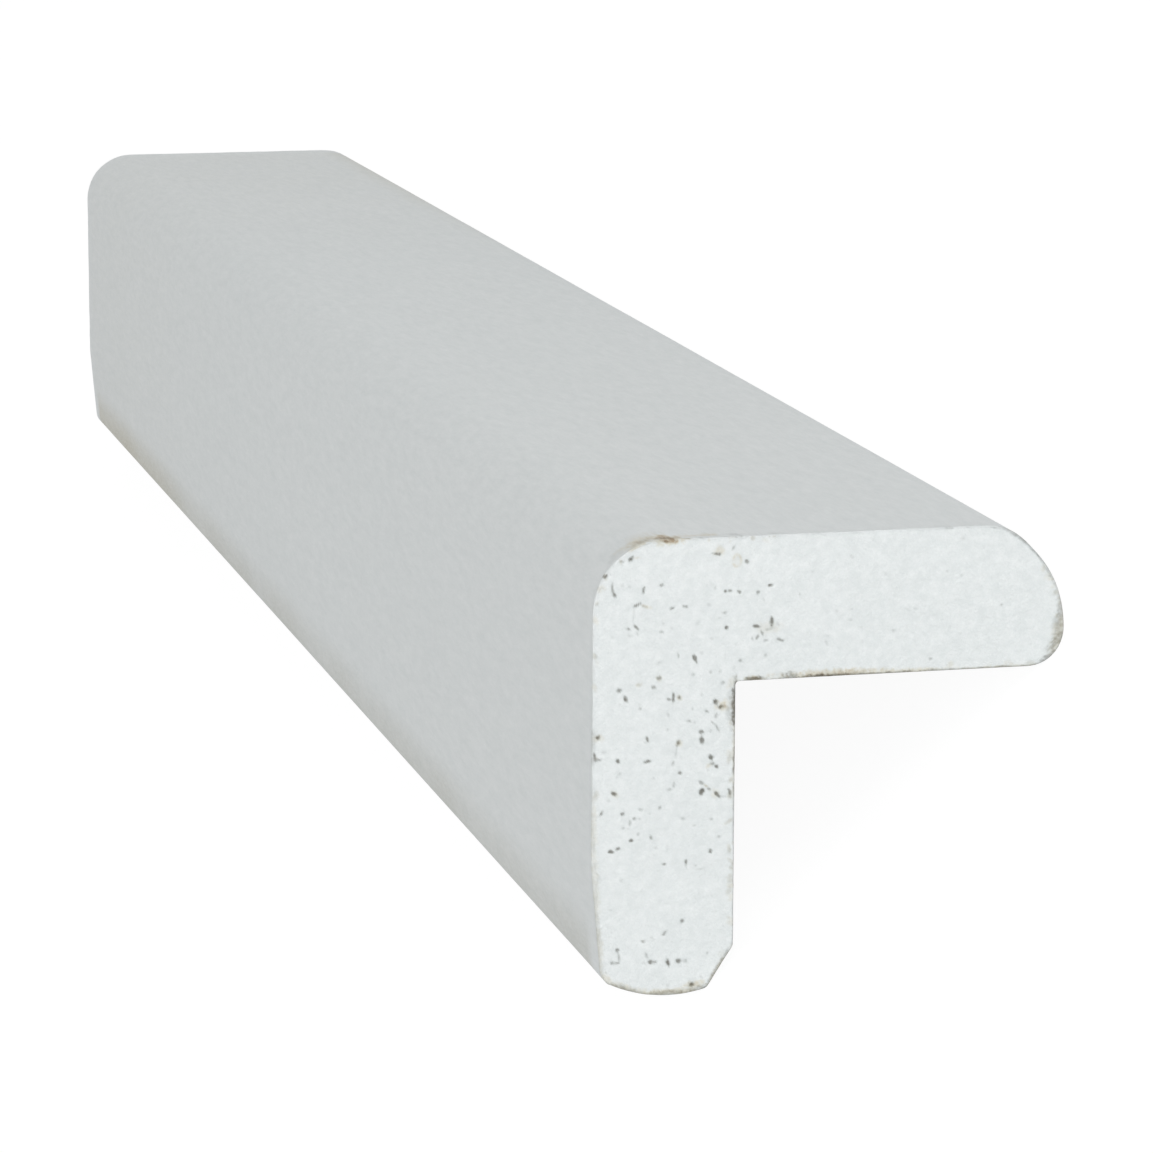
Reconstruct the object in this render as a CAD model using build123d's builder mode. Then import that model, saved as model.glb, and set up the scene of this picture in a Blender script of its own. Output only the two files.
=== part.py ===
from build123d import *

import math
import os

# Outside corner moulding: one stick of primed wood, an L in section, that caps the outside
# corner of a wall. It lies as it rests when nothing holds it, on its two leg ends with the
# rounded outer corner up. Millimetres, +Z up, the stick runs along Y, the origin is at the
# middle of the floor under it.

# Driving dimensions
stick_length = 203.0          # between the two sawn ends
first_leg_width = 28.6        # outside of the first leg, from the sharp outer corner
second_leg_width = 27.2       # outside of the second leg, which is a little narrower
thickness = 8.6               # of both legs
outer_corner_radius = 4.3     # rounding of the outer corner
inner_corner_radius = 0.2     # what the cutter leaves in the inner corner

# End of the first leg: a long rounding outside that meets a short one on the wall side
first_end_rounding = 5.8      # length of the outside rounding along the leg
first_end_inner_radius = 2.2

# End of the second leg: a slight taper outside, a crowned end, a bevel on the wall side
second_end_taper_length = 8.0
second_end_taper_depth = 0.6
second_end_taper_radius = 12.0
second_end_toe_radius = 1.2   # between the taper and the crown
second_end_crown_radius = 8.2
second_end_crown_middle = 4.8     # from the outside to where the leg is widest
second_end_bevel_length = 2.8     # along the leg
second_end_bevel_depth = 1.6      # across it
second_end_bevel_radius = 0.5     # of the bevel's two corners

# In the section's own plane the outer corner is at (0, 0), the first leg runs along +x and
# the second along -y. The outside rounding of the first leg's end is a quarter of an ellipse
# that takes what the inner rounding leaves of the thickness.
first_end_rounding_depth = thickness - first_end_inner_radius
first_end_rounding_start = first_leg_width - first_end_rounding
first_end_inner_start = first_leg_width - first_end_inner_radius


def crown_point(x):
    """The point of the second leg's crown at a distance from the outside."""
    drop = math.sqrt(second_end_crown_radius**2 - (x - second_end_crown_middle) ** 2)
    return x, second_end_crown_radius - second_leg_width - drop


taper_start = (0, second_end_taper_length - second_leg_width)
toe = crown_point(second_end_taper_depth)
crown_top = crown_point(second_end_crown_middle)
heel = crown_point(thickness - second_end_bevel_depth)
bevel_start = (thickness, second_end_bevel_length - second_leg_width)


def corner_at(x, y):
    """The corner of the section nearest to a point of its plane."""
    return vertices().sort_by_distance((x, y))[0]


with BuildSketch() as section:
    with BuildLine():
        Line((0, 0), (first_end_rounding_start, 0))
        EllipticalCenterArc(
            (first_end_rounding_start, -first_end_rounding_depth),
            first_end_rounding,
            first_end_rounding_depth,
            start_angle=0,
            arc_size=90,
        )
        CenterArc(
            (first_end_inner_start, -first_end_rounding_depth),
            first_end_inner_radius,
            start_angle=270,
            arc_size=90,
        )
        Polyline(
            (first_end_inner_start, -thickness),
            (thickness, -thickness),
            bevel_start,
            heel,
        )
        ThreePointArc(heel, crown_top, toe)
        Polyline(toe, taper_start, (0, 0))
    make_face()
    fillet(corner_at(0, 0), outer_corner_radius)
    fillet(corner_at(thickness, -thickness), inner_corner_radius)
    fillet(corner_at(*bevel_start), second_end_bevel_radius)
    fillet(corner_at(*heel), second_end_bevel_radius)
    fillet(corner_at(*toe), second_end_toe_radius)
    fillet(corner_at(*taper_start), second_end_taper_radius)

# At rest the floor is the line that touches the inner rounding of the first leg's end and the
# rounded heel of the second leg's
heel_rounding = section.edges().filter_by(GeomType.CIRCLE).sort_by_distance(heel)[0]
first_foot = Vector(first_end_inner_start, -first_end_rounding_depth)
second_foot = heel_rounding.arc_center
feet = first_foot - second_foot
foot_difference = first_end_inner_radius - second_end_bevel_radius
floor_angle = math.degrees(math.atan2(feet.Y, feet.X) - math.asin(foot_difference / feet.length))

# The section turned until its floor line is level, and the plane that puts it on the floor
resting_section = section.sketch.rotate(Axis.Z, -floor_angle)
resting_box = resting_section.bounding_box()
end_plane = Plane(
    origin=(-resting_box.center().X, stick_length / 2, -resting_box.min.Y),
    x_dir=(1, 0, 0),
    z_dir=(0, -1, 0),
)

with BuildPart() as corner_moulding:
    with BuildSketch(end_plane):
        add(resting_section)
    extrude(amount=stick_length)

corner_moulding.part.label = "corner_moulding"

os.makedirs("parts", exist_ok=True)
export_step(corner_moulding.part, "parts/corner_moulding.step")
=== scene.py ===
import math

import bmesh
import bpy
import numpy as np
from mathutils import Matrix, Vector


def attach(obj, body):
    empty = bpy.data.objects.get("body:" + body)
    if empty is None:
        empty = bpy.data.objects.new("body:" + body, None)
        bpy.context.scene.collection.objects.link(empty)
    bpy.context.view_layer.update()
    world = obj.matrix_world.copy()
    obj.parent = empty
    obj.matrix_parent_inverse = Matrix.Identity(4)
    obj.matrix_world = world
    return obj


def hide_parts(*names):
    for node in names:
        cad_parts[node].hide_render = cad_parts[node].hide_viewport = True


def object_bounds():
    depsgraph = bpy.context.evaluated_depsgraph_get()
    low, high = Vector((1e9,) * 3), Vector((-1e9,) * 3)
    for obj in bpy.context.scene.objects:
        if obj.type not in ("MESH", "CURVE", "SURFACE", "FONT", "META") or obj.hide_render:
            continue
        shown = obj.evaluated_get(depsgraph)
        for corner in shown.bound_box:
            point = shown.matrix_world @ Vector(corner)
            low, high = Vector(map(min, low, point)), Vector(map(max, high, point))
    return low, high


# An outside corner moulding: a short stick of primed wood with an L-shaped section, lying on
# its two leg ends. The section and its marks are worked out in millimetres in the section's
# own plane: the outer corner is at (0, 0), the first leg runs along +x, the second along -y,
# and depth is measured into the stick from its near sawn end.

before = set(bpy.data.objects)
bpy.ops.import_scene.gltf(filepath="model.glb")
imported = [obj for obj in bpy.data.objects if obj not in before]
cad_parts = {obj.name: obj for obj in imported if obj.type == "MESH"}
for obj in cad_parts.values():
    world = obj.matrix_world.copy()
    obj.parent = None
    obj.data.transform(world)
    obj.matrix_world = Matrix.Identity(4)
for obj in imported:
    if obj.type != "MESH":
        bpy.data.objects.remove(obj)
cad_low, cad_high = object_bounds()

MM = 0.001

# The section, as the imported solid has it
FIRST_LEG = 28.6
SECOND_LEG = 27.2
THICKNESS = 8.6
CORNER_RADIUS = 4.3
INNER_CORNER_RADIUS = 0.2
FIRST_END_ROUNDING = 5.8
FIRST_END_INNER_RADIUS = 2.2
TAPER_LENGTH = 8.0
TAPER_DEPTH = 0.6
TAPER_RADIUS = 12.0
TOE_RADIUS = 1.2
CROWN_RADIUS = 8.2
CROWN_MIDDLE = 4.8
BEVEL_LENGTH = 2.8
BEVEL_DEPTH = 1.6
BEVEL_RADIUS = 0.5
STICK_LENGTH = (cad_high[1] - cad_low[1]) / MM

# How far the shoulder of the first leg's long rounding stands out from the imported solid, as
# the photograph shows it
NOSE_FULLNESS = 0.17

# The mesh. The near end has the finest grid, the sides and the far end take some of its lines
CLEAN_SHARE = 0.62          # of the first leg, from its end, that has the wider spacing
CLEAN_LINES = 102
FIRST_LEG_LINES = 120       # along the rest of the first leg, up to the corner
SECOND_LEG_LINES = 312
LINES_ACROSS = 108
SIDE_STEP = 6               # the sides use every sixth line of the near end
FAR_STEP = 3                # the far end every third
SIDE_RINGS = 56
FINE_DEPTH = 1.6            # where the near end's own outline stops, into the stick
SIDE_DEPTH = 2.9            # where the sides' outline starts
ARC_POINTS = 48

# The broken edges of the sawn ends
NEAR_ARRIS = 0.08
FAR_ARRIS = 0.22

# Relief in millimetres, inwards from the section
DEEPEST_PIT = 0.09
SCRATCH_DEPTH = 0.055
END_INSET = 0.030           # of the sawn ends, with room for their bumps
END_BUMPS = 0.014
SIDE_INSET = 0.020          # of the long faces, with room for their waves

# Where the outer roundings of the legs' ends, which lie on the floor, are darkened: the middle of
# each darkened place. The darkening is painted shade from the floor, with some tan stain
TOE_SHADE_AND_STAIN = (0.7, 1.3 - SECOND_LEG)
NOSE_SHADE_AND_STAIN = (FIRST_LEG - 2.4, -0.8)

# How many marks of each random kind there are
EDGE_SPECK_COUNT = 110
FAR_PIT_COUNT = 90

# The primer's colour where it is thick, where it is thin and in its fine hollows
THICK_PRIMER = (0.802, 0.834, 0.834, 1)
THIN_PRIMER = (0.820, 0.849, 0.849, 1)
HOLLOW_PRIMER = (0.727, 0.764, 0.764, 1)

# What the primer's colour is multiplied by, from an unmarked place to the strongest mark. The marks
# are pits, bare wood and stains, and painted shade along the roundings that lie on the floor and
# close to the near end's edge
BARE_AND_SHADE_COLOURS = [(0.0, (1, 1, 1, 1)), (0.25, (0.82, 0.825, 0.82, 1)),
                (0.5, (0.56, 0.555, 0.54, 1)), (0.75, (0.38, 0.37, 0.345, 1)),
                (1.0, (0.26, 0.245, 0.22, 1))]
STAIN_AND_SHADE_COLOURS = [(0.0, (1, 1, 1, 1)), (0.5, (0.86, 0.80, 0.69, 1)),
                 (1.0, (0.57, 0.43, 0.30, 1))]

# The primer's textures: the size of their features in metres, drawn out along the stick by
# brushing, and how much more the sawn ends have than the long faces
CLOUD_SIZE = 0.012
SKIN_SIZE = 0.0006
DENT_SIZE = 0.0007
FUZZ_SIZE = 0.00022
RAGGED_SIZE = 0.00016
BRUSHING = 0.25
SAWN_MOTTLING = 0.7
SAWN_FUZZ = 1.4
BUMP_HEIGHT = 0.00003

# The stage. Each lamp is its place, its size and its watts
FLOOR_SIZE = 4.0
FLOOR_GLOW = 1.10           # of the floor as the camera sees it
FLOOR_GLOW_SHARE = 0.85     # the rest of it is lit, and keeps the shadow
SKY_STRENGTH = 0.526
FRONT_LAMP = ((0.0, -1.2, 0.12), 0.8, 8.1)
LEFT_LAMP = ((-0.5, -0.28, 0.22), 0.3, 0.42)
RIGHT_LAMP = ((0.42, -0.30, 0.22), 0.3, 0.45)

# The camera, fitted to the photograph's edges
CAMERA_PLACE = (-0.01464, -0.36238, 0.10717)
CAMERA_AZIMUTH = -2.569
CAMERA_ELEVATION = 17.706
CAMERA_ROLL = 42.852
CAMERA_LENS = 149.87
SENSOR_WIDTH = 36.0


# Noise

def value_noise(x, y, size, seed):
    """Smooth noise from -1 to 1 over a plane, with features of about the given size."""
    table = np.random.default_rng(seed).uniform(-1, 1, (256, 256))
    u, v = np.asarray(x) / size, np.asarray(y) / size
    i, j = np.floor(u).astype(int), np.floor(v).astype(int)
    fu, fv = u - i, v - j
    su, sv = fu * fu * (3 - 2 * fu), fv * fv * (3 - 2 * fv)
    low = table[i % 256, j % 256] * (1 - su) + table[(i + 1) % 256, j % 256] * su
    high = table[i % 256, (j + 1) % 256] * (1 - su) + table[(i + 1) % 256, (j + 1) % 256] * su
    return low * (1 - sv) + high * sv


def smooth_step(low, high, value):
    """0 up to low and 1 from high on, with a smooth slope between. Low may be the larger."""
    t = np.clip((value - low) / (high - low), 0, 1)
    return t * t * (3 - 2 * t)


# The outline of the section

def fillet(before, corner, after, radius):
    """The arc that rounds a corner between two straight lines: its points and its centre."""
    before, corner, after = (np.array(point, float) for point in (before, corner, after))
    back = (before - corner) / np.linalg.norm(before - corner)
    ahead = (after - corner) / np.linalg.norm(after - corner)
    half_angle = math.acos(float(back @ ahead)) / 2
    middle = (back + ahead) / np.linalg.norm(back + ahead)
    centre = corner + middle * radius / math.sin(half_angle)
    start = corner + back * radius / math.tan(half_angle) - centre
    end = corner + ahead * radius / math.tan(half_angle) - centre
    first = math.atan2(start[1], start[0])
    turn = (math.atan2(end[1], end[0]) - first + math.pi) % (2 * math.pi) - math.pi
    angles = first + turn * np.linspace(0, 1, ARC_POINTS + 1)
    return centre + radius * np.stack([np.cos(angles), np.sin(angles)], 1), centre


def crown_point(x, ahead=0.0):
    """The point of the second leg's crown at a distance from the outside, or a point that lies
    ahead of it in the crown's direction there."""
    off = x - CROWN_MIDDLE
    drop = math.sqrt(CROWN_RADIUS**2 - off**2)
    return x + ahead, CROWN_RADIUS - SECOND_LEG - drop + ahead * off / drop


def section_runs():
    """The outline in six runs: along the legs from the first leg's end to the second's, and
    across each leg's end from the outside to the wall side. Also the centres of the two
    roundings that touch the floor."""
    half = ARC_POINTS // 2
    rounding_depth = THICKNESS - FIRST_END_INNER_RADIUS
    rounding_start = FIRST_LEG - FIRST_END_ROUNDING
    toe_x, heel_x = TAPER_DEPTH, THICKNESS - BEVEL_DEPTH
    outer_corner, inner_corner = (0, 0), (THICKNESS, -THICKNESS)
    nose, first_heel = (FIRST_LEG, 0), (FIRST_LEG, -THICKNESS)
    taper_start, toe = (0, TAPER_LENGTH - SECOND_LEG), crown_point(toe_x)
    heel, bevel_start = crown_point(heel_x), (THICKNESS, BEVEL_LENGTH - SECOND_LEG)

    angles = np.linspace(0, math.pi / 2, ARC_POINTS + 1)
    fullness = NOSE_FULLNESS * np.where(angles > math.pi / 4, np.sin(4 * angles) ** 2, 0)
    nose_round = np.stack([
        rounding_start + FIRST_END_ROUNDING * np.cos(angles) + fullness * np.cos(angles),
        rounding_depth * (np.sin(angles) - 1) + fullness * np.sin(angles),
    ], 1)
    corner_round, _ = fillet((rounding_start, 0), outer_corner, taper_start, CORNER_RADIUS)
    taper_round, _ = fillet(outer_corner, taper_start, toe, TAPER_RADIUS)
    toe_round, _ = fillet(taper_start, toe, crown_point(toe_x, 1), TOE_RADIUS)
    heel_round, second_foot = fillet(crown_point(heel_x, -1), heel, bevel_start, BEVEL_RADIUS)
    bevel_round, _ = fillet(heel, bevel_start, inner_corner, BEVEL_RADIUS)
    crook_round, _ = fillet(first_heel, inner_corner, bevel_start, INNER_CORNER_RADIUS)
    first_round, first_foot = fillet(nose, first_heel, inner_corner, FIRST_END_INNER_RADIUS)
    crown_places = np.linspace(toe_round[-1, 0], heel_round[0, 0], ARC_POINTS)
    crown = np.array([crown_point(x) for x in crown_places])
    runs = {
        "first_outside": np.concatenate([nose_round[half:], corner_round[: half + 1]]),
        "second_outside": np.concatenate([corner_round[half:], taper_round, toe_round[: half + 1]]),
        "second_end": np.concatenate([toe_round[half:], crown, heel_round,
                                      bevel_round[: half + 1]]),
        "second_wall": np.concatenate([crook_round[half:], bevel_round[half:][::-1]]),
        "first_wall": np.concatenate([first_round[half:], crook_round[: half + 1]]),
        "first_end": np.concatenate([nose_round[half::-1], first_round[: half + 1]]),
    }
    return runs, first_foot, second_foot


def resample(path, shares):
    """Points at the given shares of a path's length."""
    steps = np.linalg.norm(np.diff(path, axis=0), axis=1)
    lengths = np.concatenate([[0], np.cumsum(steps)])
    return np.stack([np.interp(shares * lengths[-1], lengths, path[:, k]) for k in (0, 1)], 1)


FIRST_SHARES = np.concatenate([np.linspace(0, CLEAN_SHARE, CLEAN_LINES + 1),
                               np.linspace(CLEAN_SHARE, 1, FIRST_LEG_LINES + 1)[1:]])
SECOND_SHARES = np.linspace(0, 1, SECOND_LEG_LINES + 1)
SHARES_ACROSS = np.linspace(0, 1, LINES_ACROSS + 1)
LINES_ALONG = CLEAN_LINES + FIRST_LEG_LINES + SECOND_LEG_LINES


def closed_outline(runs):
    """The outline once round, from the first leg's end along the outside and back along the
    wall side, with the name of each point's run."""
    pieces = [
        ("first_outside", resample(runs["first_outside"], FIRST_SHARES)[:-1]),
        ("second_outside", resample(runs["second_outside"], SECOND_SHARES)[:-1]),
        ("second_end", resample(runs["second_end"], SHARES_ACROSS)[:-1]),
        ("second_wall", resample(runs["second_wall"], SECOND_SHARES)[:0:-1]),
        ("first_wall", resample(runs["first_wall"], FIRST_SHARES)[:0:-1]),
        ("first_end", resample(runs["first_end"], SHARES_ACROSS)[:0:-1]),
    ]
    names = np.concatenate([[name] * len(points) for name, points in pieces])
    return np.concatenate([points for _, points in pieces]), names


def inward_normals(loop):
    """Unit normals of the closed outline that point into the wood."""
    run = np.roll(loop, -1, 0) - np.roll(loop, 1, 0)
    run /= np.linalg.norm(run, axis=1)[:, None]
    following = np.roll(loop, -1, 0)
    area = np.sum(loop[:, 0] * following[:, 1] - following[:, 0] * loop[:, 1])
    return np.stack([-run[:, 1], run[:, 0]], 1) * np.sign(area)


RUNS, FIRST_FOOT, SECOND_FOOT = section_runs()
OUTLINE, RUN_NAMES = closed_outline(RUNS)
INWARD = inward_normals(OUTLINE)


def resting_place():
    """The turn and shift that lay the section on the floor, centred over the origin."""
    feet = FIRST_FOOT - SECOND_FOOT
    lean = math.asin((FIRST_END_INNER_RADIUS - BEVEL_RADIUS) / np.linalg.norm(feet))
    angle = math.atan2(feet[1], feet[0]) - lean
    turn = np.array([[math.cos(angle), -math.sin(angle)], [math.sin(angle), math.cos(angle)]])
    turned = np.concatenate(list(RUNS.values())) @ turn
    return turn, np.array([-(turned[:, 0].min() + turned[:, 0].max()) / 2, -turned[:, 1].min()])


TURN, SHIFT = resting_place()


def place(points, depth):
    """Points of the section and their depths, as places in the part's frame, in metres."""
    flat = points @ TURN + SHIFT
    along = np.broadcast_to(depth, len(flat)) - STICK_LENGTH / 2
    return np.stack([flat[:, 0], along, flat[:, 1]], 1) * MM


# Marks of the near end, each a rough ellipse: x, y, length, width, angle in degrees, strength

# Pits in the sawn wood, which the primer has not filled
NEAR_PITS = [
    (0.78, -2.02, 0.40, 0.20, 25, 0.90), (2.28, -1.12, 0.36, 0.19, 65, 0.95),
    (1.70, -1.23, 0.34, 0.13, 0, 0.45), (1.20, -2.70, 0.60, 0.15, -88, 0.60),
    (1.33, -3.18, 0.27, 0.18, -60, 0.80), (1.80, -2.65, 0.20, 0.16, 0, 0.20),
    (3.05, -2.95, 0.40, 0.15, 80, 0.70), (4.08, -2.70, 0.27, 0.18, 10, 0.70),
    (2.70, -3.80, 0.40, 0.17, 30, 0.85), (3.12, -3.92, 0.42, 0.12, -20, 0.30),
    (2.47, -4.45, 0.90, 0.10, 88, 0.15), (4.75, -4.10, 0.34, 0.15, 15, 0.70),
    (5.55, -4.03, 0.28, 0.15, -15, 0.50), (2.15, -5.20, 0.27, 0.16, -10, 0.60),
    (2.60, -5.12, 0.40, 0.15, -45, 0.70), (2.23, -5.60, 0.30, 0.13, 0, 0.35),
    (2.68, -5.50, 0.24, 0.13, 90, 0.30), (4.10, -5.45, 0.24, 0.15, 0, 0.45),
    (1.20, -5.65, 0.22, 0.16, 0, 0.15), (7.40, -1.02, 0.46, 0.17, -10, 0.80),
    (8.38, -0.68, 0.30, 0.14, 60, 0.40), (9.20, -1.55, 0.24, 0.18, 0, 0.70),
    (7.92, -3.24, 0.24, 0.18, 0, 0.75), (8.18, -3.22, 0.22, 0.17, 0, 0.70),
    (8.75, -3.30, 0.22, 0.20, 0, 0.75), (9.88, -3.40, 0.20, 0.24, 0, 0.50),
    (10.60, -3.02, 0.25, 0.17, 0, 0.80), (7.88, -4.50, 0.30, 0.16, 0, 0.40),
    (7.52, -4.78, 0.22, 0.12, 0, 0.20), (8.00, -5.40, 0.20, 0.21, 0, 0.90),
    (6.30, -5.00, 0.32, 0.16, 60, 0.15), (3.25, -4.65, 0.24, 0.14, 0, 0.15),
    (5.12, -6.88, 0.36, 0.14, 90, 0.40), (6.12, -7.12, 0.44, 0.19, -65, 0.90),
    (6.52, -6.80, 0.22, 0.18, 0, 0.20), (4.02, -7.25, 0.42, 0.13, 20, 0.30),
    (8.83, -7.38, 0.23, 0.20, 0, 0.45), (9.80, -5.38, 0.40, 0.20, -15, 0.85),
    (10.72, -5.12, 0.50, 0.20, 85, 0.85), (10.55, -5.58, 0.60, 0.12, 12, 0.30),
    (10.15, -5.85, 0.34, 0.15, -70, 0.60), (9.85, -6.02, 0.27, 0.16, 60, 0.60),
    (9.55, -6.10, 0.28, 0.13, -60, 0.45), (10.38, -6.25, 0.25, 0.15, 0, 0.40),
    (11.25, -6.27, 0.42, 0.16, -15, 0.65), (10.35, -7.12, 0.18, 0.20, 0, 0.30),
    (4.00, -8.18, 0.25, 0.24, 0, 0.65), (6.05, -8.05, 0.18, 0.15, 0, 0.35),
    (7.08, -7.98, 0.17, 0.18, 0, 0.40), (7.65, -7.97, 0.19, 0.16, 0, 0.35),
    (7.85, -8.63, 0.30, 0.15, 10, 0.50), (2.80, -8.52, 0.32, 0.17, 0, 0.20),
    (3.70, -8.70, 0.26, 0.18, 0, 0.50), (1.62, -8.78, 0.26, 0.22, 0, 0.85),
    (2.02, -9.32, 0.33, 0.20, -60, 0.90), (2.88, -9.94, 0.21, 0.15, 0, 0.50),
    (4.86, -9.40, 0.58, 0.18, 88, 0.95), (4.62, -9.46, 0.40, 0.13, 0, 0.65),
    (5.20, -9.38, 0.19, 0.20, 0, 0.70), (6.55, -9.28, 0.17, 0.15, 0, 0.30),
    (7.40, -9.75, 0.32, 0.26, -30, 1.00), (7.75, -10.05, 0.32, 0.24, 0, 0.80),
    (7.45, -10.55, 0.27, 0.16, 70, 0.45), (6.88, -10.28, 0.22, 0.16, -30, 0.55),
    (6.00, -10.08, 0.19, 0.15, 0, 0.35), (5.83, -10.80, 0.25, 0.16, 0, 0.65),
    (7.25, -11.00, 0.45, 0.12, -45, 0.35), (7.55, -11.35, 0.50, 0.13, -62, 0.45),
    (0.37, -11.53, 0.28, 0.24, 0, 0.85), (6.55, -11.50, 0.27, 0.20, 0, 0.65),
    (6.57, -11.75, 0.40, 0.12, 90, 0.45), (6.58, -12.00, 0.32, 0.26, 90, 1.00),
    (3.33, -11.75, 0.36, 0.17, -75, 0.70), (3.22, -11.95, 0.24, 0.13, 0, 0.30),
    (5.15, -12.10, 0.32, 0.20, 80, 0.70), (5.05, -12.60, 0.70, 0.11, 84, 0.25),
    (4.86, -13.25, 0.32, 0.14, 65, 0.40), (0.14, -12.55, 0.46, 0.18, -80, 0.80),
    (0.30, -12.83, 0.44, 0.17, 5, 0.60), (0.75, -12.40, 0.32, 0.14, 0, 0.20),
    (1.58, -12.97, 0.23, 0.20, 0, 0.90), (3.37, -13.08, 0.44, 0.17, 15, 0.90),
    (7.13, -13.02, 0.26, 0.30, 0, 1.00), (7.22, -13.42, 0.26, 0.17, 0, 0.65),
    (7.48, -13.58, 0.25, 0.20, 0, 0.90), (1.65, -13.75, 0.36, 0.15, 45, 0.25),
    (5.30, -13.88, 0.24, 0.18, 0, 0.70), (3.70, -14.10, 0.21, 0.14, 0, 0.30),
    (4.92, -14.55, 0.34, 0.13, 75, 0.35), (4.70, -14.80, 0.32, 0.13, 5, 0.35),
    (1.37, -14.88, 0.34, 0.20, -40, 0.90), (6.58, -14.52, 0.27, 0.18, -30, 0.60),
    (6.85, -14.70, 0.30, 0.11, -30, 0.20), (6.60, -15.05, 0.36, 0.26, 65, 1.00),
    (7.05, -14.92, 0.22, 0.15, -20, 0.50), (7.55, -15.28, 0.42, 0.18, -50, 0.80),
    (7.90, -15.40, 0.32, 0.12, 0, 0.25), (8.28, -15.20, 0.50, 0.17, -80, 0.70),
    (0.60, -16.02, 0.36, 0.15, 55, 0.65), (1.85, -16.13, 0.25, 0.18, 0, 0.75),
    (2.95, -15.92, 0.24, 0.15, 0, 0.35), (2.60, -16.42, 0.23, 0.18, 0, 0.60),
    (2.88, -16.45, 0.22, 0.13, 0, 0.25), (2.30, -16.70, 0.36, 0.15, 80, 0.40),
    (1.92, -16.98, 0.21, 0.15, 0, 0.30), (2.20, -17.00, 0.18, 0.14, 0, 0.20),
    (4.08, -15.88, 0.25, 0.17, 60, 0.60), (2.80, -17.37, 0.19, 0.18, 0, 0.30),
    (2.40, -17.70, 0.24, 0.24, 0, 0.90), (3.58, -17.63, 0.22, 0.20, 0, 0.60),
    (1.60, -18.17, 0.27, 0.17, 15, 0.75), (1.17, -18.33, 0.29, 0.22, -15, 0.90),
    (3.88, -18.27, 0.24, 0.13, 0, 0.25), (7.13, -18.65, 0.22, 0.22, 0, 0.75),
    (4.38, -19.25, 0.25, 0.16, -10, 0.65), (5.70, -19.25, 0.50, 0.13, 88, 0.65),
    (6.52, -19.67, 0.46, 0.13, 10, 0.20), (7.65, -17.80, 0.21, 0.17, 0, 0.40),
    (7.20, -16.70, 0.20, 0.16, 0, 0.35), (6.15, -17.05, 0.21, 0.14, 0, 0.25),
    (1.03, -15.28, 0.20, 0.14, 0, 0.20), (1.15, -21.82, 0.24, 0.13, 0, 0.20),
    (5.50, -22.73, 0.28, 0.24, 20, 0.75), (4.45, -23.38, 0.36, 0.15, 45, 0.60),
    (3.15, -23.83, 0.23, 0.18, 0, 0.50), (3.70, -23.80, 0.34, 0.12, 20, 0.15),
    (1.60, -24.28, 0.24, 0.23, 0, 0.70), (1.68, -24.65, 0.66, 0.12, -82, 0.40),
    (1.50, -25.05, 0.60, 0.14, 3, 0.50), (1.25, -25.02, 0.22, 0.18, 0, 0.60),
    (3.35, -24.72, 0.32, 0.15, -75, 0.40), (3.20, -25.15, 0.22, 0.15, 0, 0.25),
    (3.58, -25.10, 0.26, 0.24, 0, 0.80), (3.85, -25.12, 0.34, 0.15, 15, 0.55),
    (4.63, -25.23, 0.38, 0.20, -75, 1.00), (5.27, -25.15, 0.24, 0.24, 0, 0.85),
    (5.72, -25.20, 0.25, 0.18, -40, 0.40), (6.67, -26.20, 0.22, 0.14, -45, 0.20),
    (4.65, -26.60, 0.24, 0.15, 60, 0.25), (6.08, -26.62, 0.32, 0.24, 15, 0.90),
    (15.50, -1.53, 0.20, 0.20, 0, 0.20), (16.80, -0.50, 0.30, 0.14, 90, 0.15),
    (17.60, -2.65, 0.40, 0.14, -45, 0.20), (16.15, -5.73, 0.25, 0.17, 0, 0.15),
    (18.10, -6.03, 0.26, 0.15, -30, 0.35), (14.05, -6.62, 0.32, 0.15, -60, 0.20),
    (22.30, -0.75, 0.24, 0.22, 0, 0.20), (20.40, -7.85, 0.24, 0.16, 0, 0.40),
    (24.70, -4.83, 0.20, 0.17, 0, 0.50), (19.00, -4.85, 0.26, 0.15, 0, 0.20),
    (19.45, -4.80, 0.22, 0.15, 0, 0.20), (19.80, -5.10, 0.24, 0.15, 0, 0.15),
]

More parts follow.
